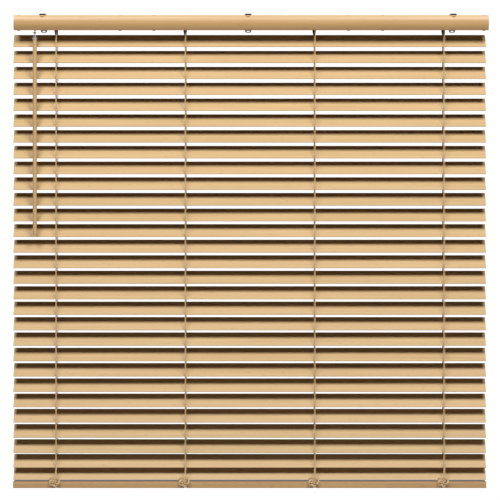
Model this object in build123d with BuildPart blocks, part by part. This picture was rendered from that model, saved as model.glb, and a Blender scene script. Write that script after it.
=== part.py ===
from build123d import *
import os
from math import asin, atan2, cos, hypot, pi, radians, sin, sqrt

os.makedirs("parts", exist_ok=True)

# A bamboo venetian blind, hung by three brackets. The origin is the middle of the centre
# bracket's top face, +X is to the right, the front looks along -Y and +Z is up.

# Places of the headrail's and the slats' middles from the centre bracket's middle
blind_middle = 9.0
slat_middle = 4.5

# Slats
slat_length = 1397.0
slat_width = 50.0
slat_thickness = 3.0
slat_count = 29
slat_tilt = 49.0
first_slat_drop = 78.9
first_pitch = 47.3
last_pitch = 45.0
slack_pitches = (43.7, 35.5)

# Bottom rail, with one more slat lying on it
rail_depth = 50.0
rail_height = 16.0
rail_edge_radius = 2.0
rail_drop = 27.0
groove_depth = 2.6
groove_half_width = 3.4

# Ladders and cords
ladder_spacing = 382.0
ladder_count = 4
ladder_cord_diameter = 2.0
lift_cord_diameter = 1.8
lift_cord_offset = 2.6
cord_gap = 0.3
exit_drop = 1.5
exit_spread = 18.0
lift_bend = 5.0
rail_turn = 4.0
rail_rise = 4.3
rail_bend = 1.5
tail_drop = 1.6
tail_bend = 1.2
cord_bend = 1.3

# Clearances
fit_gap = 0.3
running_gap = 0.08
seat_gap = 0.1

# Headrail, a folded sheet channel open at the top
headrail_length = 1390.0
headrail_depth = 50.0
headrail_height = 37.0
headrail_drop = 5.5
sheet = 0.8
lip_width = 7.0
end_cap_thickness = 2.0
end_cap_plug = 8.0
end_cap_wall = 1.5

# Valance
valance_length = 1400.0
valance_height = 44.0
valance_drop = 6.0
valance_edge = 5.0
valance_bulge = 7.0
valance_standoff = 6.0
valance_corner_radius = 1.2
notch_length = 12.0
notch_height = 3.6
notch_drop = 5.0
notch_depth = 2.0

# Valance clips: inner ones placed from the middle of the blind, outer ones from its ends
inner_clips = (-387.0, -287.0, 287.0, 387.0)
clip_inset = 9.0
clip_width = 8.0
clip_sheet = 0.8
clip_foot = 7.0
clip_hook = 5.0

# Brackets, the outer ones placed from the headrail's ends
left_bracket_inset = 79.0
right_bracket_inset = 98.0
bracket_width = 20.0
bracket_sheet = 1.2
bracket_front = 24.5
flange_height = 4.6
flange_radius = 3.5
flange_length = 38.0
tab_width = 18.0
tab_height = 8.0
tab_radius = 5.0
tab_hole_width = 9.0
tab_hole_height = 3.6
screw_hole_radius = 2.3
screw_spacing = 14.0
catch_reach = 5.0
tongue_back = 15.8
tongue_front = 23.0

# Tilt gear: rod, drums, worm and wheel
rod_drop = 26.0
rod_size = 5.0
rod_left_reach = 20.0
rod_right_reach = 20.0
drum_radius = 11.0
drum_rim = 2.0
drum_flange = 1.2
drum_width = 9.0
hub_radius = 5.0
hub_length = 4.0
tilter_inset = 57.0
wheel_teeth = 10
wheel_tip_radius = 7.0
wheel_tooth_height = 1.6
wheel_tooth_width = 2.2
wheel_width = 7.0
worm_crest_radius = 3.4
worm_core_radius = 2.4
worm_thread_pitch = 3.6
worm_thread_width = 1.6
worm_threads = 3
shaft_radius = 1.8
shaft_top_reach = 8.0
neck_radius = 0.8
neck_length = 6.0
ball_radius = 2.8
ball_front = 33.0
ball_drop = 57.5
housing_back = 10.0
housing_wall = 1.6
housing_top_drop = 9.0
rod_hole_radius = 4.0
nose_radius = 3.2
nose_start = 10.0
nose_length = 12.0

# Cradles that carry the drums, each with a keel below the headrail
cradle_half_length = 17.0
cradle_base = 2.0
cradle_wall = 1.8
cradle_wall_half_depth = 12.0
cradle_wall_rise = 8.0
cradle_slot_half = 4.5
keel_top_length = 12.0
keel_top_depth = 12.0
keel_tip_length = 7.0
keel_tip_depth = 6.6
keel_length = 17.5
floor_cut_half = 7.0

# Lift motor
motor_left = 40.0
motor_right = 160.0
motor_height = 29.0
motor_bore_radius = 4.5
motor_edge_radius = 2.0
lane_height = 4.7
near_lane = 19.9
far_lane = 22.3
lane_bend = 3.0

# Wand
wand_diameter = 12.0
wand_length = 581.5
wand_end_radius = 2.0
hook_wire_radius = 0.6
hook_leg_radius = 0.52
hook_stem_radius = 0.46
hook_ring_angle = 62.0
hook_clearance = 0.2
hook_stem = 4.0
loop_radius = 2.0
pin_radius = 0.9
connector_diameter = 9.0
connector_slot = 2.6
connector_cheek = 3.4
cup_wall = 0.8
cup_top = 1.2
cup_depth = 6.0

# Knots and plugs
knot_core_radius = 8.0
knot_depth = 9.0
knot_loops = 6
knot_loop_radius = 4.2
knot_strand_radius = 1.5
knot_loop_reach = 10.2
knot_side = -3.0
knot_rise = 21.0
knot_standoff = 1.3
tie_radius = 1.9
tie_height = 6.0
tie_rise = 44.0
tie_shift = 0.6
plug_radius = 6.0
plug_depth = 7.0

# Worked out from the sizes above
ladder_places = [
    slat_middle + (i - (ladder_count - 1) / 2) * ladder_spacing for i in range(ladder_count)
]
tilt = radians(slat_tilt)
ladder_cord_radius = ladder_cord_diameter / 2
lift_cord_radius = lift_cord_diameter / 2
slat_edge = (slat_width - slat_thickness) / 2
cord_reach = slat_edge + (slat_thickness / 2 + ladder_cord_radius + cord_gap) / cos(tilt)
even_pitches = slat_count - 1 - len(slack_pitches)
pitch_step = (first_pitch - last_pitch) / (even_pitches - 1)
pitches = [first_pitch - i * pitch_step for i in range(even_pitches)] + list(slack_pitches)
slat_heights = [-first_slat_drop - sum(pitches[:i]) for i in range(slat_count)]
slat_start = slat_middle - slat_length / 2
rail_top = slat_heights[-1] - rail_drop
rail_bottom = rail_top - rail_height
headrail_start = blind_middle - headrail_length / 2
headrail_end = blind_middle + headrail_length / 2
tilter_x = headrail_start + tilter_inset
bracket_places = {
    "bracket_left": headrail_start + left_bracket_inset,
    "bracket_centre": 0.0,
    "bracket_right": headrail_end - right_bracket_inset,
}
end_clip = headrail_length / 2 - clip_inset
clip_places = (-end_clip, *inner_clips, end_clip)
headrail_top = -headrail_drop
headrail_bottom = headrail_top - headrail_height
headrail_middle = (headrail_top + headrail_bottom) / 2
headrail_side = headrail_depth / 2
inner_depth = headrail_depth - 2 * sheet
inner_side = inner_depth / 2
floor_top = headrail_bottom + sheet
valance_back = -headrail_side - valance_standoff
valance_top = -valance_drop
valance_bottom = valance_top - valance_height
valance_middle = (valance_top + valance_bottom) / 2
valance_edge_y = valance_back - valance_edge
valance_front = valance_edge_y - valance_bulge
lift_line = max(slat_width, rail_depth) / 2 + lift_cord_radius + 3 * cord_gap
rod_z = -rod_drop
drum_flange_radius = drum_radius + drum_rim
bearing_radius = hub_radius + running_gap


def edge_point(place, side):
    """Y and Z where a ladder cord passes a slat: side is -1 at the front and 1 at the back."""
    return side * cord_reach * cos(tilt), slat_heights[place] + side * cord_reach * sin(tilt)


# Slats: one plain strip of bamboo with rounded edges each, turned about its long axis
for number, height in enumerate(slat_heights, start=1):
    slat_section = Plane(
        origin=(slat_start, 0, height), x_dir=(0, cos(tilt), sin(tilt)), z_dir=(1, 0, 0)
    )
    with BuildPart() as slat:
        with BuildSketch(slat_section):
            SlotOverall(slat_width, slat_thickness)
        extrude(amount=slat_length)
    slat.part.label = f"slat_{number:02d}"
    export_step(slat.part, f"parts/{slat.part.label}.step")

# The lowest slat has slack ladders and lies flat on the rail
with BuildPart() as resting_slat:
    with BuildSketch(Plane.YZ.offset(slat_start)):
        with Locations((0, rail_top + slat_thickness / 2)):
            SlotOverall(slat_width, slat_thickness)
    extrude(amount=slat_length)
resting_slat.part.label = f"slat_{slat_count + 1:02d}"
export_step(resting_slat.part, f"parts/{resting_slat.part.label}.step")

# Bottom rail, with a groove round it for the cords at each ladder and a plug hole below
groove_places = [x + lift_cord_offset / 2 for x in ladder_places]
below_rail = Plane.XY.offset(rail_bottom - fit_gap)
with BuildPart() as bottom_rail:
    with BuildSketch(Plane.YZ.offset(slat_start)):
        with Locations((0, rail_bottom + rail_height / 2)):
            RectangleRounded(rail_depth, rail_height, rail_edge_radius)
    extrude(amount=slat_length)
    with BuildSketch(below_rail):
        with Locations(*[(x, side * rail_depth / 2) for x in groove_places for side in (-1, 1)]):
            Rectangle(2 * groove_half_width, 2 * groove_depth)
    extrude(amount=rail_height + 2 * fit_gap, mode=Mode.SUBTRACT)
    with BuildSketch(below_rail):
        with Locations(*[(x, 0) for x in groove_places]):
            Rectangle(2 * groove_half_width, rail_depth)
    extrude(amount=groove_depth + fit_gap, mode=Mode.SUBTRACT)
    with BuildSketch(below_rail):
        with Locations(*[(x, 0) for x in groove_places]):
            Circle(plug_radius)
    extrude(amount=plug_depth + fit_gap, mode=Mode.SUBTRACT)
bottom_rail.part.label = "bottom_rail"
export_step(bottom_rail.part, "parts/bottom_rail.step")

# Plugs that pin the cord ends in the underside of the rail, each with a boss in the groove
boss_radius = groove_half_width - seat_gap
with BuildPart() as rail_plugs:
    with BuildSketch(Plane.XY.offset(rail_bottom + groove_depth)):
        with Locations(*[(x, 0) for x in groove_places]):
            Circle(plug_radius - seat_gap)
    extrude(amount=plug_depth - groove_depth)
    with BuildSketch(Plane.XY.offset(rail_bottom + fit_gap)):
        with Locations(*[(x, 0) for x in groove_places]):
            Circle(boss_radius)
    extrude(amount=groove_depth - fit_gap)
rail_plugs.part.label = "rail_plugs"
export_step(rail_plugs.part, "parts/rail_plugs.step")

# Worm shaft line: from the ball below the valance up past the front of the worm wheel
ball_centre = Vector(tilter_x, -ball_front, -ball_drop)
mesh_distance = wheel_tip_radius + worm_crest_radius + fit_gap
ball_to_rod = hypot(ball_front, ball_drop - rod_drop)
shaft_slope = atan2(ball_drop - rod_drop, ball_front) + asin(mesh_distance / ball_to_rod)
shaft_dir = Vector(0, cos(shaft_slope), sin(shaft_slope))
mesh_reach = sqrt(ball_to_rod**2 - mesh_distance**2)
floor_reach = (ball_drop + floor_top) / sin(shaft_slope)


def across_shaft(reach):
    """The plane square to the worm shaft, this far along it from the ball."""
    return Plane(origin=ball_centre + shaft_dir * reach, x_dir=(1, 0, 0), z_dir=shaft_dir)


# Headrail, with a cut in its floor for each cradle and one for the tilter's nose
with BuildPart() as headrail:
    with BuildSketch(Plane.YZ.offset(headrail_start)):
        with Locations((0, headrail_middle)):
            Rectangle(headrail_depth, headrail_height)
            Rectangle(inner_depth, headrail_height - 2 * sheet, mode=Mode.SUBTRACT)
        with Locations((0, headrail_top - sheet / 2)):
            Rectangle(headrail_depth - 2 * lip_width, sheet, mode=Mode.SUBTRACT)
    extrude(amount=headrail_length)
    fillet(headrail.edges().filter_by(Axis.X).group_by(Axis.Z)[0], sheet)
    with BuildSketch(Plane.XY.offset(headrail_bottom)):
        with Locations(*[(x, 0) for x in ladder_places]):
            Rectangle(2 * floor_cut_half, inner_depth - 2 * sheet)
    extrude(amount=sheet, mode=Mode.SUBTRACT)
    with BuildSketch(across_shaft(0)):
        Circle(nose_radius + fit_gap)
    extrude(amount=floor_reach + 2 * nose_radius, mode=Mode.SUBTRACT)
headrail.part.label = "headrail"
export_step(headrail.part, "parts/headrail.step")

# End caps, each a plate with a hollow plug that fits the channel's end
plug_width = inner_depth - 2 * seat_gap
plug_height = headrail_height - 2 * sheet - 2 * seat_gap
for name, side in (("headrail_end_cap_left", -1), ("headrail_end_cap_right", 1)):
    cap_plane = Plane.YZ.offset(blind_middle + side * headrail_length / 2)
    with BuildPart() as end_cap:
        with BuildSketch(cap_plane):
            with Locations((0, headrail_middle)):
                RectangleRounded(headrail_depth, headrail_height, sheet)
        extrude(amount=side * end_cap_thickness)
        with BuildSketch(cap_plane):
            with Locations((0, headrail_middle)):
                Rectangle(plug_width, plug_height)
                Rectangle(
                    plug_width - 2 * end_cap_wall,
                    plug_height - 2 * end_cap_wall,
                    mode=Mode.SUBTRACT,
                )
        extrude(amount=-side * end_cap_plug)
    end_cap.part.label = name
    export_step(end_cap.part, f"parts/{name}.step")

# Valance: a flat-backed strip with a crowned front and a scooped notch before each bracket
crown_radius = ((valance_height / 2) ** 2 + valance_bulge**2) / (2 * valance_bulge)
notch_z = valance_top - notch_drop
notch_y = valance_front + crown_radius - sqrt(crown_radius**2 - (notch_z - valance_middle) ** 2)
with BuildPart() as valance:
    with BuildSketch(Plane.YZ.offset(blind_middle - valance_length / 2)):
        with BuildLine():
            Polyline(
                (valance_edge_y, valance_top),
                (valance_back, valance_top),
                (valance_back, valance_bottom),
                (valance_edge_y, valance_bottom),
            )
            ThreePointArc(
                (valance_edge_y, valance_bottom),
                (valance_front, valance_middle),
                (valance_edge_y, valance_top),
            )
        make_face()
    extrude(amount=valance_length)
    fillet(valance.edges().filter_by(Axis.X).group_by(Axis.Y)[0], valance_corner_radius)
    with BuildSketch(Plane.XZ.offset(-notch_y - notch_depth)):
        with Locations(*[(x, notch_z) for x in bracket_places.values()]):
            Ellipse(notch_length / 2, notch_height / 2)
    extrude(amount=2 * notch_depth + valance_edge, mode=Mode.SUBTRACT)
valance.part.label = "valance"
export_step(valance.part, "parts/valance.step")

# Valance clips: over the headrail's front lip, down its face and under the valance
clip_face = -headrail_side - fit_gap
clip_top = headrail_top + fit_gap + clip_sheet
foot_top = valance_bottom - fit_gap
leaf_front = valance_back + fit_gap
with BuildPart() as valance_clips:
    for place in clip_places:
        with BuildSketch(Plane.YZ.offset(blind_middle + place - clip_width / 2)):
            with Locations((clip_face - clip_sheet, foot_top - clip_sheet)):
                Rectangle(clip_sheet, clip_top - foot_top + clip_sheet, align=Align.MIN)
            with Locations((clip_face - clip_sheet, clip_top - clip_sheet)):
                Rectangle(clip_hook + clip_sheet, clip_sheet, align=Align.MIN)
            with Locations((leaf_front, valance_middle)):
                Rectangle(clip_face - leaf_front, clip_sheet, align=Align.MIN)
            with Locations((leaf_front, valance_middle)):
                Rectangle(clip_sheet, clip_foot, align=Align.MIN)
            with Locations((valance_back - clip_foot, foot_top - clip_sheet)):
                Rectangle(clip_face - valance_back + clip_foot, clip_sheet, align=Align.MIN)
        extrude(amount=clip_width)
valance_clips.part.label = "valance_clips"
export_step(valance_clips.part, "parts/valance_clips.step")

# Brackets: an arched top plate, a tongue under the headrail's front lip, a back leg with a
# catch below the headrail, and a release tab with a finger hole
leg_face = headrail_side + fit_gap
leg_back = leg_face + bracket_sheet
catch_top = headrail_bottom - fit_gap
tongue_top = headrail_top - sheet - fit_gap
for name, bracket_x in bracket_places.items():
    with BuildPart() as bracket:
        with BuildSketch(Plane.YZ.offset(bracket_x - bracket_width / 2)):
            with Locations((leg_face, catch_top - bracket_sheet)):
                Rectangle(bracket_sheet, -catch_top, align=Align.MIN)
            with Locations((leg_face - catch_reach, catch_top - bracket_sheet)):
                Rectangle(catch_reach + bracket_sheet, bracket_sheet, align=Align.MIN)
            with Locations((-tongue_back - bracket_sheet, tongue_top - bracket_sheet)):
                Rectangle(bracket_sheet, -tongue_top, align=Align.MIN)
            with Locations((-tongue_front, tongue_top - bracket_sheet)):
                Rectangle(tongue_front - tongue_back, bracket_sheet, align=Align.MIN)
        extrude(amount=bracket_width)
        with BuildSketch(Plane.XZ.offset(bracket_front)):
            with Locations((bracket_x, -flange_height)):
                RectangleRounded(bracket_width, 2 * flange_height, flange_radius)
                RectangleRounded(
                    bracket_width - 2 * bracket_sheet,
                    2 * (flange_height - bracket_sheet),
                    flange_radius - bracket_sheet,
                    mode=Mode.SUBTRACT,
                )
            with Locations((bracket_x, -2 * flange_height)):
                Rectangle(bracket_width, 2 * flange_height, mode=Mode.SUBTRACT)
        extrude(amount=-flange_length)
        with BuildSketch(Plane.XY.offset(-bracket_sheet)):
            with Locations((bracket_x, (leg_back - bracket_front) / 2)):
                Rectangle(bracket_width - 2 * flange_radius, leg_back + bracket_front)
        extrude(amount=bracket_sheet)
        with BuildSketch(Plane.XY.offset(-bracket_sheet)):
            with Locations((bracket_x, leg_back)):
                Rectangle(
                    bracket_width,
                    leg_back + bracket_front - flange_length,
                    align=(Align.CENTER, Align.MAX),
                )
        extrude(amount=bracket_sheet)
        with BuildSketch(Plane.XZ.offset(-leg_back)):
            with Locations((bracket_x, catch_top - bracket_sheet)):
                RectangleRounded(tab_width, 2 * tab_height, tab_radius)
                Rectangle(
                    tab_width, tab_height, align=(Align.CENTER, Align.MIN), mode=Mode.SUBTRACT
                )
            with Locations((bracket_x, catch_top - bracket_sheet - tab_height / 2)):
                SlotOverall(tab_hole_width, tab_hole_height, mode=Mode.SUBTRACT)
        extrude(amount=bracket_sheet)
        with BuildSketch(Plane.XY):
            with Locations((bracket_x, -screw_spacing / 2), (bracket_x, screw_spacing / 2)):
                Circle(screw_hole_radius)
        extrude(amount=-2 * bracket_sheet, mode=Mode.SUBTRACT)
    bracket.part.label = name
    export_step(bracket.part, f"parts/{name}.step")

# Tilt rod, square, through the wheel and every drum
rod_start = tilter_x - rod_left_reach
rod_end = ladder_places[-1] + rod_right_reach
with BuildPart() as tilt_rod:
    with BuildSketch(Plane.YZ.offset(rod_start)):
        with Locations((0, rod_z)):
            Rectangle(rod_size, rod_size)
    extrude(amount=rod_end - rod_start)
tilt_rod.part.label = "tilt_rod"
export_step(tilt_rod.part, "parts/tilt_rod.step")


def rod_plane(x):
    """The plane across the tilt rod at this X, centred on the rod."""
    return Plane(origin=(x, 0, rod_z), x_dir=(0, 1, 0), z_dir=(1, 0, 0))


# Drums that wind the ladder cords, one solid at each ladder
square_bore = rod_size + 2 * seat_gap
drum_half = drum_width / 2 + drum_flange
with BuildPart() as tilt_drums:
    for ladder_x in ladder_places:
        with BuildSketch(rod_plane(ladder_x)):
            Circle(drum_radius)
        extrude(amount=drum_width / 2, both=True)
        for side in (-1, 1):
            with BuildSketch(rod_plane(ladder_x + side * drum_width / 2)):
                Circle(drum_flange_radius)
            extrude(amount=side * drum_flange)
        with BuildSketch(rod_plane(ladder_x)):
            Circle(hub_radius)
        extrude(amount=drum_half + hub_length, both=True)
        with BuildSketch(rod_plane(ladder_x)):
            Rectangle(square_bore, square_bore)
        extrude(amount=drum_half + hub_length, both=True, mode=Mode.SUBTRACT)
tilt_drums.part.label = "tilt_drums"
export_step(tilt_drums.part, "parts/tilt_drums.step")

# Cradles: a base on the headrail's floor, two bearing walls and a tapered keel below
base_top = floor_top + cradle_base
wall_start = drum_half + fit_gap
wall_top = rod_z + cradle_wall_rise
keel_tip = headrail_bottom - keel_length
with BuildPart() as cord_cradles:
    for ladder_x in ladder_places:
        with BuildSketch(Plane.XY.offset(floor_top)):
            with Locations((ladder_x, 0)):
                Rectangle(2 * cradle_half_length, inner_depth - 2 * fit_gap)
            for side in (-1, 1):
                with Locations((ladder_x, side * (keel_top_depth + inner_depth) / 2)):
                    Rectangle(2 * cradle_slot_half, inner_depth, mode=Mode.SUBTRACT)
        extrude(amount=cradle_base)
        for side in (-1, 1):
            with BuildSketch(rod_plane(ladder_x + side * wall_start)):
                with Locations((0, base_top - rod_z)):
                    Rectangle(
                        2 * cradle_wall_half_depth,
                        wall_top - base_top,
                        align=(Align.CENTER, Align.MIN),
                    )
                Circle(bearing_radius, mode=Mode.SUBTRACT)
            extrude(amount=side * cradle_wall)
        with BuildSketch(Plane.XY.offset(floor_top)):
            with Locations((ladder_x, 0)):
                Rectangle(keel_top_length, keel_top_depth)
        extrude(amount=-sheet)
        with BuildSketch(Plane.XY.offset(headrail_bottom)):
            with Locations((ladder_x, 0)):
                Rectangle(keel_top_length, keel_top_depth)
        with BuildSketch(Plane.XY.offset(keel_tip)):
            with Locations((ladder_x, 0)):
                RectangleRounded(keel_tip_length, keel_tip_depth, neck_radius)
        loft()
cord_cradles.part.label = "cord_cradles"
export_step(cord_cradles.part, "parts/cord_cradles.step")

# Worm wheel, fixed on the left end of the tilt rod
wheel_root = wheel_tip_radius - wheel_tooth_height
with BuildPart() as worm_wheel:
    with BuildSketch(rod_plane(tilter_x)):
        Circle(wheel_root)
        with PolarLocations(wheel_root, wheel_teeth):
            Rectangle(2 * wheel_tooth_height, wheel_tooth_width)
        Circle(wheel_tip_radius, mode=Mode.INTERSECT)
        Rectangle(square_bore, square_bore, mode=Mode.SUBTRACT)
    extrude(amount=wheel_width / 2, both=True)
worm_wheel.part.label = "worm_wheel"
export_step(worm_wheel.part, "parts/worm_wheel.step")

# Worm shaft: the ball for the wand, a thin neck, the shaft and the worm with its threads
with BuildPart() as worm_shaft:
    with Locations(ball_centre):
        Sphere(ball_radius)
    with BuildSketch(across_shaft(0)):
        Circle(neck_radius)
    extrude(amount=neck_length)
    with BuildSketch(across_shaft(neck_length)):
        Circle(shaft_radius)
    extrude(amount=mesh_reach + shaft_top_reach - neck_length)
    with BuildSketch(across_shaft(mesh_reach)):
        Circle(worm_core_radius)
    extrude(amount=worm_threads * worm_thread_pitch / 2, both=True)
    for thread in range(worm_threads):
        reach = mesh_reach + (thread - (worm_threads - 1) / 2) * worm_thread_pitch
        with BuildSketch(across_shaft(reach)):
            Circle(worm_crest_radius)
        extrude(amount=worm_thread_width / 2, both=True)
worm_shaft.part.label = "worm_shaft"
export_step(worm_shaft.part, "parts/worm_shaft.step")

# Tilter housing: an open box with a nose that carries the worm shaft out below the headrail
housing_half = wheel_width / 2 + fit_gap + housing_wall
housing_front = -inner_side + fit_gap
housing_depth = housing_back - housing_front
housing_height = -housing_top_drop - floor_top
box_align = (Align.CENTER, Align.MIN)
with BuildPart() as tilter_housing:
    with BuildSketch(Plane.XY.offset(floor_top)):
        with Locations((tilter_x, housing_front)):
            Rectangle(2 * housing_half, housing_depth, align=box_align)
    extrude(amount=housing_height)
    with BuildSketch(Plane.XY.offset(floor_top + housing_wall)):
        with Locations((tilter_x, housing_front + housing_wall)):
            Rectangle(
                2 * (housing_half - housing_wall),
                housing_depth - 2 * housing_wall,
                align=box_align,
            )
    extrude(amount=housing_height, mode=Mode.SUBTRACT)
    with BuildSketch(across_shaft(nose_start)):
        Circle(nose_radius)
    extrude(amount=nose_length)
    with BuildSketch(across_shaft(nose_start - fit_gap)):
        Circle(shaft_radius + running_gap)
    extrude(amount=nose_length + nose_radius, mode=Mode.SUBTRACT)
    with BuildSketch(rod_plane(tilter_x)):
        Circle(rod_hole_radius)
    extrude(amount=2 * housing_half, both=True, mode=Mode.SUBTRACT)
tilter_housing.part.label = "tilter_housing"
export_step(tilter_housing.part, "parts/tilter_housing.step")

# Lift motor: a sealed spring unit that winds the lift cords, bored for the tilt rod
with BuildPart() as lift_motor:
    with BuildSketch(Plane.YZ.offset(motor_left)):
        with Locations((0, floor_top + motor_height / 2)):
            RectangleRounded(inner_depth - 2 * fit_gap, motor_height, motor_edge_radius)
        with Locations((0, rod_z)):
            Circle(motor_bore_radius, mode=Mode.SUBTRACT)
    extrude(amount=motor_right - motor_left)
lift_motor.part.label = "lift_motor"
export_step(lift_motor.part, "parts/lift_motor.step")

# Ladder cords in front of and behind the slats
for name, side in (("ladder_front_cords", -1), ("ladder_back_cords", 1)):
    cord_y, cord_top = edge_point(0, side)
    cord_low = edge_point(slat_count - 1, side)[1]
    with BuildPart() as ladder_cords:
        with BuildSketch(Plane.XY.offset(cord_low)):
            with Locations(*[(x, cord_y) for x in ladder_places]):
                Circle(ladder_cord_radius)
        extrude(amount=cord_top - cord_low)
    ladder_cords.part.label = name
    export_step(ladder_cords.part, f"parts/{name}.step")

# Ladder cords between the drums and the top slat
drum_line = drum_radius + ladder_cord_radius + cord_gap
with BuildPart() as ladder_tops:
    for ladder_x in ladder_places:
        for side in (-1, 1):
            drum_point = Vector(ladder_x, side * drum_line, rod_z)
            cord_run = Vector(ladder_x, *edge_point(0, side)) - drum_point
            with BuildSketch(Plane(origin=drum_point, x_dir=(1, 0, 0), z_dir=cord_run)):
                Circle(ladder_cord_radius)
            extrude(amount=cord_run.length - cord_gap)
ladder_tops.part.label = "ladder_tops"
export_step(ladder_tops.part, "parts/ladder_tops.step")

# Ladder cords from the lowest tilted slat down round the rail to the plugs
rail_side = rail_depth / 2
plug_reach = boss_radius + cord_gap
tail_inset = cord_gap + ladder_cord_radius
tail_y = rail_side - groove_depth + tail_inset
tail_z = rail_bottom + groove_depth - tail_inset
with BuildPart() as ladder_tails:
    for ladder_x in ladder_places:
        for side in (-1, 1):
            start_y, start_z = edge_point(slat_count - 1, side)
            with BuildLine() as tail_path:
                FilletPolyline(
                    (ladder_x, start_y, start_z - cord_gap),
                    (ladder_x, start_y, start_z - tail_drop),
                    (ladder_x, side * lift_line, rail_top + rail_rise),
                    (ladder_x, side * lift_line, rail_top),
                    (ladder_x, side * tail_y, rail_top - rail_turn),
                    (ladder_x, side * tail_y, tail_z),
                    (ladder_x, side * plug_reach, tail_z),
                    radius=[tail_bend, rail_bend, rail_bend, rail_bend, cord_bend],
                )
            with BuildSketch(Plane(origin=tail_path.line @ 0, z_dir=tail_path.line % 0)):
                Circle(ladder_cord_radius)
            sweep(path=tail_path.line)
ladder_tails.part.label = "ladder_tails"
export_step(ladder_tails.part, "parts/ladder_tails.step")

# Lift cords: from the motor along the headrail, down past the slats and round the rail
lane_z = floor_top + lane_height
exit_z = headrail_bottom - exit_drop
lift_inset = cord_gap + lift_cord_radius
lift_y = rail_side - groove_depth + lift_inset
lift_z = rail_bottom + groove_depth - lift_inset
motor_middle = (motor_left + motor_right) / 2
motor_reach = (motor_right - motor_left) / 2 + cord_gap
with BuildPart() as lift_cords:
    for place, ladder_x in enumerate(ladder_places):
        lane = far_lane if place in (0, ladder_count - 1) else near_lane
        toward = 1 if ladder_x > motor_middle else -1
        cord_x = ladder_x + lift_cord_offset
        for side in (-1, 1):
            with BuildLine() as lift_path:
                FilletPolyline(
                    (motor_middle + toward * motor_reach, side * lane, lane_z),
                    (cord_x, side * lane, lane_z),
                    (cord_x, side * lane, exit_z),
                    (cord_x, side * lift_line, exit_z - exit_spread),
                    (cord_x, side * lift_line, rail_top),
                    (cord_x, side * lift_y, rail_top - rail_turn),
                    (cord_x, side * lift_y, lift_z),
                    (cord_x, side * plug_reach, lift_z),
                    radius=[lane_bend, lift_bend, lift_bend, rail_bend, rail_bend, cord_bend],
                )
            with BuildSketch(Plane(origin=lift_path.line @ 0, z_dir=lift_path.line % 0)):
                Circle(lift_cord_radius)
            sweep(path=lift_path.line)
lift_cords.part.label = "lift_cords"
export_step(lift_cords.part, "parts/lift_cords.step")

# Knots: a round body with six loops, hung by two strands from a tie on the front lift cord
knot_back = -lift_line - lift_cord_radius - knot_standoff
knot_z = rail_bottom + knot_rise
tie_y = -lift_line - tie_shift
with BuildPart() as cord_knots:
    for ladder_x in ladder_places:
        cord_x = ladder_x + lift_cord_offset
        knot_x = ladder_x + knot_side
        tie_x = cord_x + tie_shift
        with BuildSketch(Plane.XZ.offset(-knot_back)):
            with Locations((knot_x, knot_z)):
                Circle(knot_core_radius)
        extrude(amount=knot_depth)
        knot_middle = Vector(knot_x, knot_back - knot_depth / 2, knot_z)
        for loop in range(knot_loops):
            turn = pi * (2 * loop + 1) / knot_loops
            centre = knot_middle + Vector(cos(turn), 0, sin(turn)) * knot_loop_reach
            with Locations(Location(centre, (90, 0, 0))):
                Torus(knot_loop_radius, knot_strand_radius)
        with BuildSketch(Plane.XY.offset(knot_z + tie_rise)):
            with Locations((tie_x, tie_y)):
                Circle(tie_radius)
        extrude(amount=tie_height)
        for strand_x in (knot_x, cord_x):
            with BuildLine() as strand:
                Line(
                    (strand_x, knot_middle.Y, knot_z),
                    (tie_x, tie_y - lift_cord_radius, knot_z + tie_rise + tie_height / 2),
                )
            with BuildSketch(Plane(origin=strand.line @ 0, z_dir=strand.line % 0)):
                Circle(lift_cord_radius)
            sweep(path=strand.line)
        with BuildSketch(Plane.XY.offset(knot_z + tie_rise - tie_height)):
            with Locations((cord_x, -lift_line)):
                Circle(lift_cord_radius + cord_gap)
        extrude(amount=3 * tie_height, mode=Mode.SUBTRACT)
cord_knots.part.label = "cord_knots"
export_step(cord_knots.part, "parts/cord_knots.step")

# Wand hook: a wire ring on the ball's shoulder, two legs round the ball, a stem and a loop
wire_reach = ball_radius + hook_wire_radius + hook_clearance
ring_angle = radians(hook_ring_angle)
ring_rise = wire_reach * cos(ring_angle)
ring_radius = wire_reach * sin(ring_angle)
stem_foot = ball_centre - Vector(0, 0, wire_reach + hook_stem)
loop_centre = stem_foot - Vector(0, 0, loop_radius)
with BuildPart() as wand_hook:
    with Locations(ball_centre + Vector(0, 0, ring_rise)):
        Torus(ring_radius, hook_wire_radius)
    with BuildLine() as legs:
        ThreePointArc(
            ball_centre + Vector(-ring_radius, 0, ring_rise),
            ball_centre - Vector(0, 0, wire_reach),
            ball_centre + Vector(ring_radius, 0, ring_rise),
        )
    with BuildSketch(Plane(origin=legs.line @ 0, z_dir=legs.line % 0)):
        Circle(hook_leg_radius)
    sweep(path=legs.line)
    with BuildSketch(Plane(origin=stem_foot)):
        Circle(hook_stem_radius)
    extrude(amount=hook_stem)
    with Locations(Location(loop_centre, (0, 90, 0))):
        Torus(loop_radius, hook_wire_radius)
wand_hook.part.label = "wand_hook"
export_step(wand_hook.part, "parts/wand_hook.step")

# Wand pin, through the hook's loop, and the clear connector that holds it over the wand's top
pin_slack = loop_radius - hook_wire_radius - pin_radius - hook_clearance
pin_centre = loop_centre - Vector(0, 0, pin_slack)
pin_plane = Plane(origin=pin_centre, x_dir=(0, 1, 0), z_dir=(1, 0, 0))
pin_half = connector_diameter / 2 - fit_gap
with BuildPart() as wand_pin:
    with BuildSketch(pin_plane):
        Circle(pin_radius)
    extrude(amount=pin_half, both=True)
wand_pin.part.label = "wand_pin"
export_step(wand_pin.part, "parts/wand_pin.step")

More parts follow.
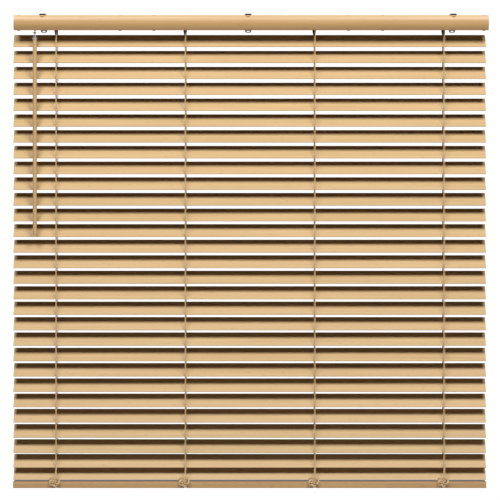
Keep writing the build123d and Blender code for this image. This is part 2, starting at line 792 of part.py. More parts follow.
slot_bottom = pin_centre.Z - pin_slack - loop_radius - hook_wire_radius - hook_clearance
wand_top = slot_bottom - cup_top
wand_radius = wand_diameter / 2
cup_bore = wand_radius + seat_gap
with BuildPart() as wand_connector:
    with BuildSketch(Plane.XY.offset(wand_top)):
        with Locations((tilter_x, -ball_front)):
            Circle(connector_diameter / 2)
    extrude(amount=pin_centre.Z + connector_cheek - wand_top)
    with BuildSketch(Plane.XY.offset(slot_bottom)):
        with Locations((tilter_x, -ball_front)):
            Rectangle(connector_slot, 2 * connector_diameter)
    extrude(amount=wand_diameter, mode=Mode.SUBTRACT)
    with BuildSketch(Plane.XY.offset(wand_top - cup_depth)):
        with Locations((tilter_x, -ball_front)):
            Circle(cup_bore + cup_wall)
            Circle(cup_bore, mode=Mode.SUBTRACT)
    extrude(amount=cup_depth)
    with BuildSketch(Plane.XY.offset(wand_top)):
        with Locations((tilter_x, -ball_front)):
            Circle(cup_bore + cup_wall)
    extrude(amount=cup_top)
    with BuildSketch(pin_plane):
        Circle(pin_radius + seat_gap)
    extrude(amount=wand_diameter, both=True, mode=Mode.SUBTRACT)
wand_connector.part.label = "wand_connector"
export_step(wand_connector.part, "parts/wand_connector.step")

# Wand, round bamboo
with BuildPart() as wand:
    with BuildSketch(Plane.XY.offset(wand_top)):
        with Locations((tilter_x, -ball_front)):
            Circle(wand_radius)
    extrude(amount=-wand_length)
    fillet(wand.edges().filter_by(GeomType.CIRCLE), wand_end_radius)
wand.part.label = "wand"
export_step(wand.part, "parts/wand.step")
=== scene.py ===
"""Looks of a bamboo venetian blind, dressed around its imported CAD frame.

Every length is in metres.
"""

import logging
import math
from dataclasses import dataclass, field
from enum import Enum

import bpy
from mathutils import Matrix, Vector


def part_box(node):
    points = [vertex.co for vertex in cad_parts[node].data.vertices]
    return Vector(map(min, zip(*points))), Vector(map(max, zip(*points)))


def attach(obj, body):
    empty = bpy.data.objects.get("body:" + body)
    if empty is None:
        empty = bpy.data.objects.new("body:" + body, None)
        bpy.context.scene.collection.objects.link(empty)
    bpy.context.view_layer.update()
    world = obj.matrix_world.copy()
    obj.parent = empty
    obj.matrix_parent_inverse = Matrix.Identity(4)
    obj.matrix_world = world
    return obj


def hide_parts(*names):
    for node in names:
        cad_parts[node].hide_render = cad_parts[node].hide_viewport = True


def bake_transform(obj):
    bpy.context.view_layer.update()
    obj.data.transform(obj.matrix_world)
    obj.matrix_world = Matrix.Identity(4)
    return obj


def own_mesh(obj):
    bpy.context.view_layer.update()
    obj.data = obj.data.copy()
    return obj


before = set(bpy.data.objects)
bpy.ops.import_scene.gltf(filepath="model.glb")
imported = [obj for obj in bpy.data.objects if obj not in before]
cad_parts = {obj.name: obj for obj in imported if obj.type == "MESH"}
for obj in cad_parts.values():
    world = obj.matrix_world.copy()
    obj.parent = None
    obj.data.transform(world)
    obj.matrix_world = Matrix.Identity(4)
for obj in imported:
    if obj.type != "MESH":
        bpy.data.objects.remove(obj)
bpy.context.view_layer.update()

logging.basicConfig(level=logging.INFO, format="%(name)s: %(message)s")
LOG = logging.getLogger("blind")

SLAT_COUNT = 30
HANGING_SLATS = SLAT_COUNT - 1
LADDER_COUNT = 4
SLAT_TILT = math.radians(49.0)
CORD_EDGE_ANGLE = math.radians(40.0)
STRAND_EDGE_ANGLE = math.radians(60.0)
MERGE_DISTANCE = 1e-6
Triple = tuple[float, float, float]
Colour = Triple


class Grain(Enum):
    """How a bamboo piece lies, as the turn that lays it flat with its grain along X."""

    ALONG_TILTED_SLAT = (-SLAT_TILT, 0.0, 0.0)
    ALONG_LEVEL_PIECE = (0.0, 0.0, 0.0)
    ALONG_WAND = (0.0, math.pi / 2, 0.0)


def new_material(name: str) -> bpy.types.Material:
    """Adds a material that has nodes.

    Args:
        name: The material's name.

    Returns:
        The material, with a plain shader.
    """
    material = bpy.data.materials.new(name)
    material.use_nodes = True
    return material


def raise_surface(
    material: bpy.types.Material,
    height: bpy.types.NodeSocket,
    strength: float,
    depth: float,
) -> None:
    """Gives a material a fine relief.

    Args:
        material: The material.
        height: The socket that gives the relief's height.
        strength: How strongly the relief shows.
        depth: The relief's depth.
    """
    nodes, links = material.node_tree.nodes, material.node_tree.links
    bump = nodes.new("ShaderNodeBump")
    bump.inputs["Strength"].default_value = strength
    bump.inputs["Distance"].default_value = depth
    links.new(height, bump.inputs["Height"])
    links.new(bump.outputs["Normal"], nodes["Principled BSDF"].inputs["Normal"])


@dataclass(frozen=True)
class Streaks:
    """One noise pattern, drawn out along the cane.

    Args:
        stretch: How closely it repeats along X, Y and Z.
        detail: How much finer detail it has.
    """

    stretch: Triple
    detail: float

    def build(
        self, tree: bpy.types.NodeTree, place: bpy.types.NodeSocket
    ) -> bpy.types.NodeSocket:
        """Adds the pattern to a group.

        Args:
            tree: The group.
            place: The socket that gives the place on the piece.

        Returns:
            The socket that gives the pattern's value.
        """
        scale = tree.nodes.new("ShaderNodeVectorMath")
        scale.operation = "MULTIPLY"
        scale.inputs[1].default_value = self.stretch
        texture = tree.nodes.new("ShaderNodeTexNoise")
        texture.inputs["Scale"].default_value = 1.0
        texture.inputs["Detail"].default_value = self.detail
        tree.links.new(place, scale.inputs[0])
        tree.links.new(scale.outputs["Vector"], texture.inputs["Vector"])
        return texture.outputs["Fac"]


@dataclass(frozen=True)
class BambooFibres:
    """The shared group that draws bamboo fibres along X.

    Args:
        fine: The single fibres.
        broad: The bands of fibres.
        clouds: The soft changes of tone.
        marks: The short dark marks.
        fine_share: Share of the single fibres in the tone.
        broad_share: Share of the bands in it.
        cloud_share: Share of the soft changes in it.
        pale_below: Value below which the cane is wholly pale.
        deep_above: Value above which it is wholly deep.
        mark_from: Value from which a mark shows.
        mark_full: Value from which it shows fully.
        mark_strength: How strongly a full mark shows.
        mark_colour: Colour of the marks.
    """

    fine: Streaks = Streaks((6.0, 900.0, 900.0), 3.0)
    broad: Streaks = Streaks((2.6, 230.0, 230.0), 2.0)
    clouds: Streaks = Streaks((3.0, 14.0, 14.0), 1.0)
    marks: Streaks = Streaks((55.0, 420.0, 420.0), 0.0)
    fine_share: float = 0.32
    broad_share: float = 0.48
    cloud_share: float = 0.2
    pale_below: float = 0.36
    deep_above: float = 0.64
    mark_from: float = 0.75
    mark_full: float = 0.84
    mark_strength: float = 0.32
    mark_colour: Colour = (0.16, 0.08, 0.03)

    def build(self) -> bpy.types.NodeTree:
        """Makes the group.

        Returns:
            The group, with a colour and a relief output.
        """
        tree = bpy.data.node_groups.new("bamboo_fibres", "ShaderNodeTree")
        for name, way, kind in (
            ("Vector", "INPUT", "NodeSocketVector"),
            ("Pale", "INPUT", "NodeSocketColor"),
            ("Deep", "INPUT", "NodeSocketColor"),
            ("Contrast", "INPUT", "NodeSocketFloat"),
            ("Colour", "OUTPUT", "NodeSocketColor"),
            ("Relief", "OUTPUT", "NodeSocketFloat"),
        ):
            tree.interface.new_socket(name, in_out=way, socket_type=kind)
        nodes, links = tree.nodes, tree.links
        inside = nodes.new("NodeGroupInput")
        outside = nodes.new("NodeGroupOutput")
        place = inside.outputs["Vector"]

        value = None
        for streaks, share in (
            (self.broad, self.broad_share),
            (self.fine, self.fine_share),
            (self.clouds, self.cloud_share),
        ):
            total = nodes.new("ShaderNodeMath")
            total.operation = "MULTIPLY_ADD"
            total.inputs[1].default_value = share
            total.inputs[2].default_value = 0.0
            links.new(streaks.build(tree, place), total.inputs[0])
            if value is not None:
                links.new(value, total.inputs[2])
            value = total.outputs["Value"]
        links.new(value, outside.inputs["Relief"])

        spread = nodes.new("ShaderNodeMapRange")
        spread.inputs["From Min"].default_value = self.pale_below
        spread.inputs["From Max"].default_value = self.deep_above
        links.new(value, spread.inputs["Value"])
        amount = nodes.new("ShaderNodeMath")
        amount.operation = "MULTIPLY"
        links.new(spread.outputs["Result"], amount.inputs[0])
        links.new(inside.outputs["Contrast"], amount.inputs[1])
        tone = nodes.new("ShaderNodeMix")
        tone.data_type = "RGBA"
        links.new(amount.outputs["Value"], tone.inputs["Factor"])
        links.new(inside.outputs["Pale"], tone.inputs["A"])
        links.new(inside.outputs["Deep"], tone.inputs["B"])

        spots = nodes.new("ShaderNodeMapRange")
        spots.inputs["From Min"].default_value = self.mark_from
        spots.inputs["From Max"].default_value = self.mark_full
        spots.inputs["To Max"].default_value = self.mark_strength
        links.new(self.marks.build(tree, place), spots.inputs["Value"])
        marked = nodes.new("ShaderNodeMix")
        marked.data_type = "RGBA"
        marked.inputs["B"].default_value = (*self.mark_colour, 1.0)
        links.new(spots.outputs["Result"], marked.inputs["Factor"])
        links.new(tone.outputs["Result"], marked.inputs["A"])
        links.new(marked.outputs["Result"], outside.inputs["Colour"])
        return tree


@dataclass(frozen=True)
class BambooFinish:
    """A lacquered bamboo finish.

    Args:
        name: The material's name.
        pale: Colour of the pale fibres.
        deep: Colour of the deep fibres.
        grain: The way that the grain runs.
        contrast: How strongly the fibres show.
        roughness: Roughness of the cane.
        relief: How strongly the fibres' relief shows.
        relief_depth: Depth of that relief.
        lacquer: Weight of the lacquer coat.
        lacquer_roughness: Roughness of that coat.
    """

    name: str
    pale: Colour
    deep: Colour
    grain: Grain
    contrast: float = 0.5
    roughness: float = 0.42
    relief: float = 0.12
    relief_depth: float = 0.0004
    lacquer: float = 0.12
    lacquer_roughness: float = 0.3

    def build(self, fibres: bpy.types.NodeTree) -> bpy.types.Material:
        """Makes the material.

        Args:
            fibres: The shared group that draws bamboo fibres.

        Returns:
            The finished material.
        """
        material = new_material(self.name)
        nodes, links = material.node_tree.nodes, material.node_tree.links
        shader = nodes["Principled BSDF"]
        place = nodes.new("ShaderNodeTexCoord")
        turn = nodes.new("ShaderNodeMapping")
        turn.inputs["Rotation"].default_value = self.grain.value
        group = nodes.new("ShaderNodeGroup")
        group.node_tree = fibres
        group.inputs["Pale"].default_value = (*self.pale, 1.0)
        group.inputs["Deep"].default_value = (*self.deep, 1.0)
        group.inputs["Contrast"].default_value = self.contrast
        links.new(place.outputs["Object"], turn.inputs["Vector"])
        links.new(turn.outputs["Vector"], group.inputs["Vector"])
        links.new(group.outputs["Colour"], shader.inputs["Base Color"])
        raise_surface(material, group.outputs["Relief"], self.relief, self.relief_depth)
        shader.inputs["Roughness"].default_value = self.roughness
        shader.inputs["Coat Weight"].default_value = self.lacquer
        shader.inputs["Coat Roughness"].default_value = self.lacquer_roughness
        return material


@dataclass(frozen=True)
class CordFinish:
    """A braided cord finish, with painted shade between the yarns.

    Args:
        name: The material's name.
        light: Colour of the raised yarns.
        shade_between_yarns: Painted shade between the yarns, a darker colour that stands in for the
            shade in the braid's creases.
        yarn_scale: How closely the yarns lie.
        waver: How unevenly they run.
        relief: How strongly their relief shows.
        relief_depth: Depth of that relief.
        roughness: Roughness of the yarn.
    """

    name: str
    light: Colour
    shade_between_yarns: Colour
    yarn_scale: float = 420.0
    waver: float = 1.5
    relief: float = 0.5
    relief_depth: float = 0.0003
    roughness: float = 0.85

    def build(self) -> bpy.types.Material:
        """Makes the material.

        Returns:
            The finished material.
        """
        material = new_material(self.name)
        nodes, links = material.node_tree.nodes, material.node_tree.links
        shader = nodes["Principled BSDF"]
        place = nodes.new("ShaderNodeTexCoord")
        braid = nodes.new("ShaderNodeTexWave")
        braid.wave_type = "BANDS"
        braid.bands_direction = "DIAGONAL"
        braid.inputs["Scale"].default_value = self.yarn_scale
        braid.inputs["Distortion"].default_value = self.waver
        mix = nodes.new("ShaderNodeMix")
        mix.data_type = "RGBA"
        # Painted shade: the braid's low parts take the darker colour, which stands in for the shade
        # in its creases.
        mix.inputs["A"].default_value = (*self.shade_between_yarns, 1.0)
        mix.inputs["B"].default_value = (*self.light, 1.0)
        links.new(place.outputs["Object"], braid.inputs["Vector"])
        links.new(braid.outputs["Fac"], mix.inputs["Factor"])
        links.new(mix.outputs["Result"], shader.inputs["Base Color"])
        raise_surface(material, braid.outputs["Fac"], self.relief, self.relief_depth)
        shader.inputs["Roughness"].default_value = self.roughness
        return material


@dataclass(frozen=True)
class PlainFinish:
    """An even finish, such as enamelled steel or moulded plastic.

    Args:
        name: The material's name.
        colour: Its colour.
        roughness: Its roughness.
        metallic: 1 for bare metal.
        clear: Share of light let through.
    """

    name: str
    colour: Colour
    roughness: float
    metallic: float = 0.0
    clear: float = 0.0

    def build(self) -> bpy.types.Material:
        """Makes the material.

        Returns:
            The finished material.
        """
        material = new_material(self.name)
        shader = material.node_tree.nodes["Principled BSDF"]
        shader.inputs["Base Color"].default_value = (*self.colour, 1.0)
        shader.inputs["Roughness"].default_value = self.roughness
        shader.inputs["Metallic"].default_value = self.metallic
        shader.inputs["Transmission Weight"].default_value = self.clear
        return material


@dataclass
class Finishes:
    """Every material of the blind, made once.

    The slats take several bamboo tones in turn, because each is cut from its own cane.
    """

    slat_tones: tuple[tuple[Colour, Colour], ...] = (
        ((0.62, 0.425, 0.210), (0.43, 0.265, 0.108)),
        ((0.60, 0.410, 0.198), (0.41, 0.250, 0.100)),
        ((0.63, 0.430, 0.218), (0.45, 0.275, 0.115)),
        ((0.60, 0.410, 0.200), (0.41, 0.255, 0.102)),
        ((0.62, 0.422, 0.214), (0.44, 0.268, 0.112)),
    )
    made: dict[str, bpy.types.Material] = field(default_factory=dict)

    def bamboo(self) -> None:
        """Makes the bamboo finishes, which share one group of fibres."""
        fibres = BambooFibres().build()
        finishes = [
            BambooFinish(f"slat_bamboo_{number}", pale, deep, Grain.ALONG_TILTED_SLAT)
            for number, (pale, deep) in enumerate(self.slat_tones, start=1)
        ]
        for name, pale, deep, grain in (
            ("rail_bamboo", (0.54, 0.34, 0.155), (0.39, 0.215, 0.085), Grain.ALONG_LEVEL_PIECE),
            ("level_slat_bamboo", (0.60, 0.40, 0.20), (0.45, 0.27, 0.12), Grain.ALONG_LEVEL_PIECE),
            ("valance_bamboo", (0.57, 0.355, 0.155), (0.41, 0.225, 0.075), Grain.ALONG_LEVEL_PIECE),
            ("wand_bamboo", (0.62, 0.41, 0.20), (0.46, 0.28, 0.12), Grain.ALONG_WAND),
        ):
            finishes.append(BambooFinish(name, pale, deep, grain))
        for finish in finishes:
            self.made[finish.name] = finish.build(fibres)

    def build(self) -> None:
        """Makes every material and keeps it by name."""
        self.bamboo()
        for finish in (
            CordFinish("cord", (0.80, 0.58, 0.33), (0.48, 0.30, 0.14)),
            # Painted light: the knots get a lighter copy of the cord colour, which stands in for
            # the light that falls on them.
            CordFinish("lit_knot_cord", (0.86, 0.64, 0.36), (0.52, 0.33, 0.16)),
            # Painted shade: the back cords get a much darker copy of the cord colour, which stands
            # in for the shade they hang in behind the slats.
            CordFinish("shaded_back_cord", (0.24, 0.15, 0.075), (0.12, 0.07, 0.03)),
            PlainFinish("enamelled_steel", (0.48, 0.33, 0.18), 0.45),
            PlainFinish("cap_plastic", (0.45, 0.31, 0.17), 0.6),
            PlainFinish("clip_steel", (0.30, 0.19, 0.09), 0.4),
            PlainFinish("bracket_steel", (0.20, 0.19, 0.18), 0.4, metallic=0.2),
            PlainFinish("rod_steel", (0.42, 0.42, 0.43), 0.32, metallic=1.0),
            PlainFinish("gear_plastic", (0.72, 0.72, 0.70), 0.5),
            PlainFinish("cradle_plastic", (0.035, 0.025, 0.018), 0.5),
            PlainFinish("clear_plastic", (0.92, 0.93, 0.93), 0.12, clear=0.75),
        ):
            self.made[finish.name] = finish.build()


@dataclass
class Dressing:
    """Puts finishes on the CAD nodes that are shown as they are."""

    finishes: Finishes

    def paint(self, node: str, material: str) -> None:
        """Gives a CAD node one of the finishes.

        Args:
            node: The node's name.
            material: The finish's name.
        """
        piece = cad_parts[node]
        piece.data.materials.clear()
        piece.data.materials.append(self.finishes.made[material])
        LOG.info("%s dressed in %s", node, material)

    def slats(self) -> None:
        """Paints the slats, their tones in an order that shows no pattern."""
        tones = len(self.finishes.slat_tones)
        for number in range(1, HANGING_SLATS + 1):
            tone = (number * number + 2 * number) % tones + 1
            self.paint(f"slat_{number:02d}", f"slat_bamboo_{tone}")
        self.paint(f"slat_{SLAT_COUNT:02d}", "level_slat_bamboo")

    def build(self) -> None:
        """Paints every node of the blind."""
        self.slats()
        for node, material in (
            ("bottom_rail", "rail_bamboo"),
            ("valance", "valance_bamboo"),
            ("wand", "wand_bamboo"),
            ("headrail", "enamelled_steel"),
            ("headrail_end_cap_left", "cap_plastic"),
            ("headrail_end_cap_right", "cap_plastic"),
            ("valance_clips", "clip_steel"),
            ("bracket_left", "bracket_steel"),
            ("bracket_centre", "bracket_steel"),
            ("bracket_right", "bracket_steel"),
            ("tilt_rod", "rod_steel"),
            ("worm_shaft", "rod_steel"),
            ("wand_hook", "rod_steel"),
            ("tilt_drums", "gear_plastic"),
            ("worm_wheel", "gear_plastic"),
            ("tilter_housing", "gear_plastic"),
            ("lift_motor", "gear_plastic"),
            ("cord_cradles", "cradle_plastic"),
            ("rail_plugs", "clear_plastic"),
            ("wand_connector", "clear_plastic"),
            ("wand_pin", "clear_plastic"),
            ("ladder_front_cords", "cord"),
            # The back ladder cords take the painted shade finish, a darkened cord colour that
            # stands in for the shade behind the slats.
            ("ladder_back_cords", "shaded_back_cord"),
            ("lift_cords", "cord"),
            ("cord_knots", "cord"),
        ):
            self.paint(node, material)


def deselect() -> None:
    """Leaves nothing selected, so that an operator acts on its own piece only."""
    for item in bpy.context.selected_objects:
        item.select_set(False)


def pick(pieces: list[bpy.types.Object]) -> None:
    """Selects some pieces and nothing else, the first of them active.

    Args:
        pieces: What to select.
    """
    deselect()
    for piece in pieces:
        piece.select_set(True)
    bpy.context.view_layer.objects.active = pieces[0]


def join(pieces: list[bpy.types.Object], name: str) -> bpy.types.Object:
    """Joins pieces into one named mesh whose object sits at the origin.

    Args:
        pieces: What to join, two or more.
        name: The joined piece's name.

    Returns:
        The joined piece.
    """
    pick(pieces)
    bpy.ops.object.join()
    joined = bpy.context.object
    joined.name = name
    joined.data.name = name
    pick([joined])
    bpy.ops.object.transform_apply(location=True, rotation=True, scale=True)
    return joined


def straight_cord(
    start: Vector, end: Vector, radius: float, sides: int = 10
) -> bpy.types.Object:
    """Adds one straight round cord as a mesh.

    Args:
        start: One end.
        end: The other end.
        radius: The cord's radius.
        sides: Number of sides round it.

    Returns:
        The cord, with its place still on the object.
    """
    run = end - start
    deselect()
    bpy.ops.mesh.primitive_cylinder_add(
        vertices=sides, radius=radius, depth=run.length, location=(start + end) / 2
    )
    cord = bpy.context.object
    cord.rotation_euler = run.to_track_quat("Z", "Y").to_euler()
    bpy.ops.object.mode_set(mode="EDIT")
    bpy.ops.mesh.select_all(action="SELECT")
    bpy.ops.mesh.subdivide(number_cuts=1)
    bpy.ops.object.mode_set(mode="OBJECT")
    bpy.ops.object.shade_smooth_by_angle(angle=CORD_EDGE_ANGLE)
    return cord


def closed_cord(
    path: list[Vector], radius: float, roundness: int = 2
) -> bpy.types.Object:
    """Adds one round cord whose end meets its start, as a mesh.

    Args:
        path: The points of its middle line.
        radius: The cord's radius.
        roundness: How finely it is rounded.

    Returns:
        The cord, whose object sits at the origin.
    """
    deselect()
    bpy.ops.mesh.primitive_circle_add(
        vertices=len(path), radius=1.0, fill_type="NOTHING"
    )
    cord = bpy.context.object
    for vertex, point in zip(cord.data.vertices, path):
        vertex.co = point
    bpy.ops.object.convert(target="CURVE")
    cord = bpy.context.object
    cord.data.dimensions = "3D"
    cord.data.bevel_depth = radius
    cord.data.bevel_resolution = roundness
    cord.data.use_fill_caps = False
    bpy.ops.object.convert(target="MESH")
    cord = bpy.context.object
    bpy.ops.object.shade_smooth_by_angle(angle=STRAND_EDGE_ANGLE)
    return cord


def copy_node(node: str, name: str) -> bpy.types.Object:
    """Copies a CAD node as a piece of its own, with its doubled points merged.

    Args:
        node: The node's name.
        name: The copy's name.

    Returns:
        The copy, shown, with no material, and no point of it selected.
    """
    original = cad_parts[node]
    piece = original.copy()
    piece.data = original.data.copy()
    piece.name = name
    piece.data.name = name
    piece.data.materials.clear()
    bpy.context.collection.objects.link(piece)
    piece.hide_render = False
    piece.hide_viewport = False
    piece.parent = None
    piece.matrix_world = Matrix.Identity(4)
    pick([piece])
    bpy.ops.object.mode_set(mode="EDIT")
    bpy.ops.mesh.select_all(action="SELECT")
    bpy.ops.mesh.remove_doubles(threshold=MERGE_DISTANCE)
    bpy.ops.mesh.select_all(action="DESELECT")
    bpy.ops.object.mode_set(mode="OBJECT")
    return piece


@dataclass
class Ladders:
    """The ladder rungs under the slats and the cords above and below them.

    Args:
        finishes: The blind's materials.
        rung_radius: Radius of a rung.
        rung_sides: Number of sides round it.
        rung_gap: Space between a rung and its slat.
        slat_half: Half of a slat's thickness.
        cord_radius: Radius of a ladder cord.
        rod_height: Height of the tilt rod's middle line.
        drum_line: How far from that line the cords leave a drum.
        turn_back: How far the slats turn until their front edges are highest.
        back_extra: How far the back cords run on past the drum.
        tail_hold: Height above the rail up to which a tail stays still; not used.
    """

    finishes: Finishes
    rung_radius: float = 0.0006
    rung_sides: int = 6
    rung_gap: float = 0.0001
    slat_half: float = 0.0015
    cord_radius: float = 0.0010
    rod_height: float = -0.026
    drum_line: float = 0.0123
    turn_back: float = math.radians(120.0)
    back_extra: float = 0.013
    tail_hold: float = 0.0005

    def __post_init__(self) -> None:
        """Reads the ladders' places from the CAD frame."""
        low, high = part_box("ladder_front_cords")
        first, last = low.x + self.cord_radius, high.x - self.cord_radius
        self.places = [
            first + (last - first) * number / (LADDER_COUNT - 1)
            for number in range(LADDER_COUNT)
        ]
        self.front_y = (low.y + high.y) / 2
        self.front_top, self.front_low = high.z, low.z
        low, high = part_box("ladder_back_cords")
        self.back_y = (low.y + high.y) / 2
        self.back_top, self.back_low = high.z, low.z
        self.reach = self.back_y / math.cos(SLAT_TILT)

    def slat_middle(self, number: int) -> float:
        """Gives the height of a slat's middle line."""
        low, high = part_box(f"slat_{number:02d}")
        return (low.z + high.z) / 2

    def at_each(self, start: Vector, end: Vector) -> list[bpy.types.Object]:
        """Makes one ladder cord at each ladder.

        Args:
            start: One end, for a ladder at X = 0.
            end: The other end, likewise.

        Returns:
            The cords, from the left ladder to the right.
        """
        shifts = [Vector((place, 0.0, 0.0)) for place in self.places]
        return [
            straight_cord(start + shift, end + shift, self.cord_radius)
            for shift in shifts
        ]

    def rungs(self, number: int) -> None:
        """Makes one slat's rungs, under it from cord to cord.

        Args:
            number: The slat's number, from the top.
        """
        along = Vector((0.0, math.cos(SLAT_TILT), math.sin(SLAT_TILT)))
        under = Vector((0.0, math.sin(SLAT_TILT), -math.cos(SLAT_TILT)))
        sunk = under * (self.slat_half + self.rung_radius + self.rung_gap)
        half = along * (self.reach - self.cord_radius)
        height = self.slat_middle(number)
        made = []
        for place in self.places:
            middle = Vector((place, 0.0, height)) + sunk
            start, end = middle - half, middle + half
            made.append(straight_cord(start, end, self.rung_radius, self.rung_sides))
        rungs = join(made, f"rungs_{number:02d}")
        rungs.data.materials.append(self.finishes.made["cord"])
        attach(rungs, f"slat_{number:02d}_body")
        LOG.info("%s made", rungs.name)

    def tops(self) -> None:
        """Makes the cords between the drums and the top slat.

        The back cords run on up into the headrail, which leaves room for the back edges to fall.
        """
        front_end = Vector((0.0, self.front_y, self.front_top))
        back_end = Vector((0.0, self.back_y, self.back_top))
        front_start = Vector((0.0, -self.drum_line, self.rod_height))
        back_start = Vector((0.0, self.drum_line, self.rod_height))
        back_start += (back_start - back_end).normalized() * self.back_extra
        turned = SLAT_TILT - self.turn_back
        lifted = Vector((0.0, -math.cos(turned), -math.sin(turned))) * self.reach
        lifted.z += self.slat_middle(1)
        fronts = self.at_each(front_start, front_end)
        backs = self.at_each(back_start, back_end)
        # The back cords take the painted shade finish, a darkened cord colour that stands in for
        # the shade behind the slats.
        for pieces, name, body, finish in (
            (fronts, "ladder_tops_front", "ladder_front", "cord"),
            (backs, "ladder_tops_back", "ladder_back", "shaded_back_cord"),
        ):
            tops = join(pieces, name)
            tops.data.materials.append(self.finishes.made[finish])
            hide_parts("ladder_tops")
            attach(tops, body)
            if body == "ladder_front":
                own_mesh(tops)
            LOG.info("%s made", name)

    def tails(self) -> None:
        """Makes the cords between the lowest tilted slat and the rail."""
        # The back tails take the painted shade finish, a darkened cord colour that stands in for
        # the shade behind the slats.
        for side, name, finish, edge in (
            (-1.0, "ladder_tails_front", "cord", (0.0, self.front_y, self.front_low)),
            (1.0, "ladder_tails_back", "shaded_back_cord", (0.0, self.back_y, self.back_low)),
        ):
            piece = copy_node("ladder_tails", name)
            for vertex in piece.data.vertices:
                vertex.select = vertex.co.y * side < 0.0
            bpy.ops.object.mode_set(mode="EDIT")
            bpy.ops.mesh.delete(type="VERT")
            bpy.ops.object.mode_set(mode="OBJECT")
            piece.data.materials.append(self.finishes.made[finish])
            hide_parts("ladder_tails")
            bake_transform(piece)
            LOG.info("%s made", name)

    def build(self) -> None:
        """Makes the rungs and the loose ends of the ladders."""
        for number in range(1, HANGING_SLATS + 1):
            self.rungs(number)
        self.tops()
        self.tails()


@dataclass
class Knots:
    """The woven cord knots in front of the rail, each hung by two strands from a tie.

    Args:
        finishes: The blind's materials.
        places: Where the ladders are along the blind.
        leads: How many times a strand goes round its knot.
        bights: How many outer bends it makes.
        ring_radius: Radius of the knot's middle ring.
        weave_reach: How far a strand swings in and out from that ring.
        weave_depth: How far it passes over and under itself.
        weave_points: Number of points along it.
        strand_radius: Radius of a strand.
        strand_spread: How far the two strands lie from their middle line.
        core_depth: Depth of the knot's solid in the CAD frame.
        side_shift: How far a knot lies to the right of its ladder.
        cord_shift: How far the lift cord lies to the right of its ladder.
        cord_radius: Radius of the lift cord.
        tie_radius: Radius of the tie.
        tie_sides: Number of sides round it.
        tie_height: Its height.
        tie_rise: How far its foot is above the knot's middle.
        tie_shift: How far it lies in front of the lift cord and to its right.
    """

    finishes: Finishes
    places: list[float]
    leads: int = 3
    bights: int = 5
    ring_radius: float = 0.0086
    weave_reach: float = 0.0060
    weave_depth: float = 0.0022
    weave_points: int = 180
    strand_radius: float = 0.0012
    strand_spread: float = 0.0012
    core_depth: float = 0.009
    side_shift: float = -0.003
    cord_shift: float = 0.0026
    cord_radius: float = 0.0009
    tie_radius: float = 0.0019
    tie_sides: int = 12
    tie_height: float = 0.006
    tie_rise: float = 0.044
    tie_shift: float = 0.0006

    def weave(self, middle: Triple, spread: float) -> bpy.types.Object:
        """Makes one of a knot's two side-by-side strands, woven over and under itself.

        Args:
            middle: The knot's middle.
            spread: How far this strand lies outside the pair's middle line.

        Returns:
            The strand.
        """
        path = []
        centre = Vector(middle)
        for step in range(self.weave_points):
            turn = 2.0 * math.pi * self.leads * step / self.weave_points
            phase = self.bights * turn / self.leads
            out = self.ring_radius + self.weave_reach * math.cos(phase) + spread
            over = self.weave_depth * math.sin(2.0 * phase)
            point = Vector((out * math.cos(turn), over, out * math.sin(turn)))
            path.append(centre + point)
        return closed_cord(path, self.strand_radius)

    def hanger(self, middle: Triple, cord_x: float, lift_y: float) -> list[bpy.types.Object]:
        """Makes the tie round a lift cord and the two strands that hold a knot.

        Args:
            middle: The knot's middle.
            cord_x: Where the lift cord is along the blind.
            lift_y: Where it is front to back.

        Returns:
            The tie and the strands.
        """
        knot_x, knot_y, knot_z = middle
        foot = Vector((cord_x + self.tie_shift, lift_y - self.tie_shift, knot_z + self.tie_rise))
        head = foot + Vector((0.0, 0.0, self.tie_height))
        made = [straight_cord(foot, head, self.tie_radius, self.tie_sides)]
        end = (foot + head) / 2 - Vector((0.0, self.cord_radius, 0.0))
        for strand_x in (knot_x, cord_x):
            start = Vector((strand_x, knot_y, knot_z + self.ring_radius))
            made.append(straight_cord(start, end, self.cord_radius))
        return made

    def build(self) -> None:
        """Makes the four knots as one piece."""
        low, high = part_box("cord_knots")
        middle_y = low.y + self.core_depth / 2
        middle_z = high.z - self.tie_rise - self.tie_height
        lift_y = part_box("lift_cords")[0].y + self.cord_radius
        made = []
        for place in self.places:
            middle = (place + self.side_shift, middle_y, middle_z)
            for spread in (-self.strand_spread, self.strand_spread):
                made.append(self.weave(middle, spread))
            made += self.hanger(middle, place + self.cord_shift, lift_y)
        knots = join(made, "woven_knots")
        knots.data.materials.clear()
        # Painted light: the knots take a lighter copy of the cord colour, not a cord of their own
        # colour.
        knots.data.materials.append(self.finishes.made["lit_knot_cord"])
        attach(knots, "frame")
        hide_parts("cord_knots")
        LOG.info("%s made at %d ladders", knots.name, len(self.places))


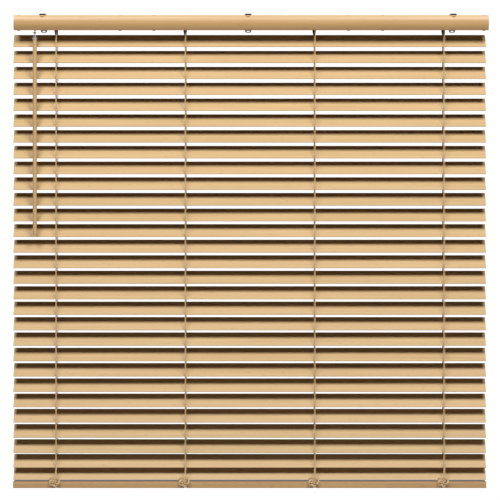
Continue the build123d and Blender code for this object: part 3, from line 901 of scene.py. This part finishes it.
@dataclass
class Studio:
    """The floor, the light and the camera.

    Args:
        target: The point that the camera and the lamps face.
        distance: How far in front of it the camera stands.
        lens: The camera's focal length, in millimetres.
        sensor: Width of its sensor, in millimetres.
        far_limit: How far it sees.
        floor: The floor's finish.
        floor_size: The floor's width and depth.
        floor_height: The floor's height.
        lamp_places: Each lamp's name and place.
        lamp_size: A lamp's width and height.
        lamp_power: Its power, in watts.
        sky_seen: Strength of the surroundings where the camera sees them.
        sky_given: Their strength as a light.
    """

    target: Triple = (0.0055, -0.043, -0.698)
    distance: float = 6.951
    lens: float = 170.0
    sensor: float = 36.0
    far_limit: float = 50.0
    floor: PlainFinish = PlainFinish("pale_floor", (0.85, 0.85, 0.84), 0.8)
    floor_size: float = 6.0
    floor_height: float = -2.3
    lamp_places: tuple[tuple[str, Triple], ...] = (
        ("left_lamp", (-1.9, -4.0, 4.3)),
        ("right_lamp", (1.9, -4.0, 4.3)),
    )
    lamp_size: float = 2.4
    lamp_power: float = 312.0
    sky_seen: float = 1.05
    sky_given: float = 0.01

    def lay_floor(self) -> None:
        """Adds the plain pale floor, well below the blind."""
        deselect()
        bpy.ops.mesh.primitive_plane_add(
            size=self.floor_size, location=(0.0, 0.0, self.floor_height)
        )
        floor = bpy.context.object
        floor.name = "floor"
        floor.data.materials.append(self.floor.build())

    def hang_lamp(self, name: str, place: Triple) -> None:
        """Adds one soft lamp that faces the blind.

        Args:
            name: The lamp's name.
            place: Where it is.
        """
        light = bpy.data.lights.new(name, "AREA")
        light.shape = "SQUARE"
        light.size = self.lamp_size
        light.energy = self.lamp_power
        lamp = bpy.data.objects.new(name, light)
        bpy.context.collection.objects.link(lamp)
        lamp.location = place
        aim = Vector(self.target) - Vector(place)
        lamp.rotation_euler = aim.to_track_quat("-Z", "Y").to_euler()

    def light_sky(self) -> None:
        """Makes the surroundings white to the eye and gentle as a light."""
        world = bpy.data.worlds.new("studio_white")
        bpy.context.scene.world = world
        world.use_nodes = True
        nodes, links = world.node_tree.nodes, world.node_tree.links
        glow = nodes["Background"]
        path = nodes.new("ShaderNodeLightPath")
        strength = nodes.new("ShaderNodeMapRange")
        strength.inputs["To Min"].default_value = self.sky_given
        strength.inputs["To Max"].default_value = self.sky_seen
        glow.inputs["Color"].default_value = (1.0, 1.0, 1.0, 1.0)
        links.new(path.outputs["Is Camera Ray"], strength.inputs["Value"])
        links.new(strength.outputs["Result"], glow.inputs["Strength"])

    def stand_camera(self) -> None:
        """Adds the camera, level and square in front of the blind."""
        lens = bpy.data.cameras.new("camera")
        lens.lens = self.lens
        lens.sensor_width = self.sensor
        lens.clip_end = self.far_limit
        camera = bpy.data.objects.new("camera", lens)
        bpy.context.collection.objects.link(camera)
        camera.location = Vector(self.target) + Vector((0.0, -self.distance, 0.0))
        camera.rotation_euler = (math.pi / 2, 0.0, 0.0)
        bpy.context.scene.camera = camera

    def build(self) -> None:
        """Sets up everything round the blind."""
        bpy.context.scene.view_settings.view_transform = "Standard"
        self.lay_floor()
        for name, place in self.lamp_places:
            self.hang_lamp(name, place)
        self.light_sky()
        self.stand_camera()
        LOG.info("studio ready")


def main() -> None:
    """Dresses the blind, adds its cords and sets up the studio."""
    finishes = Finishes()
    finishes.build()
    Dressing(finishes).build()
    ladders = Ladders(finishes)
    ladders.build()
    Knots(finishes, ladders.places).build()
    Studio().build()


if __name__ == "__main__":
    main()
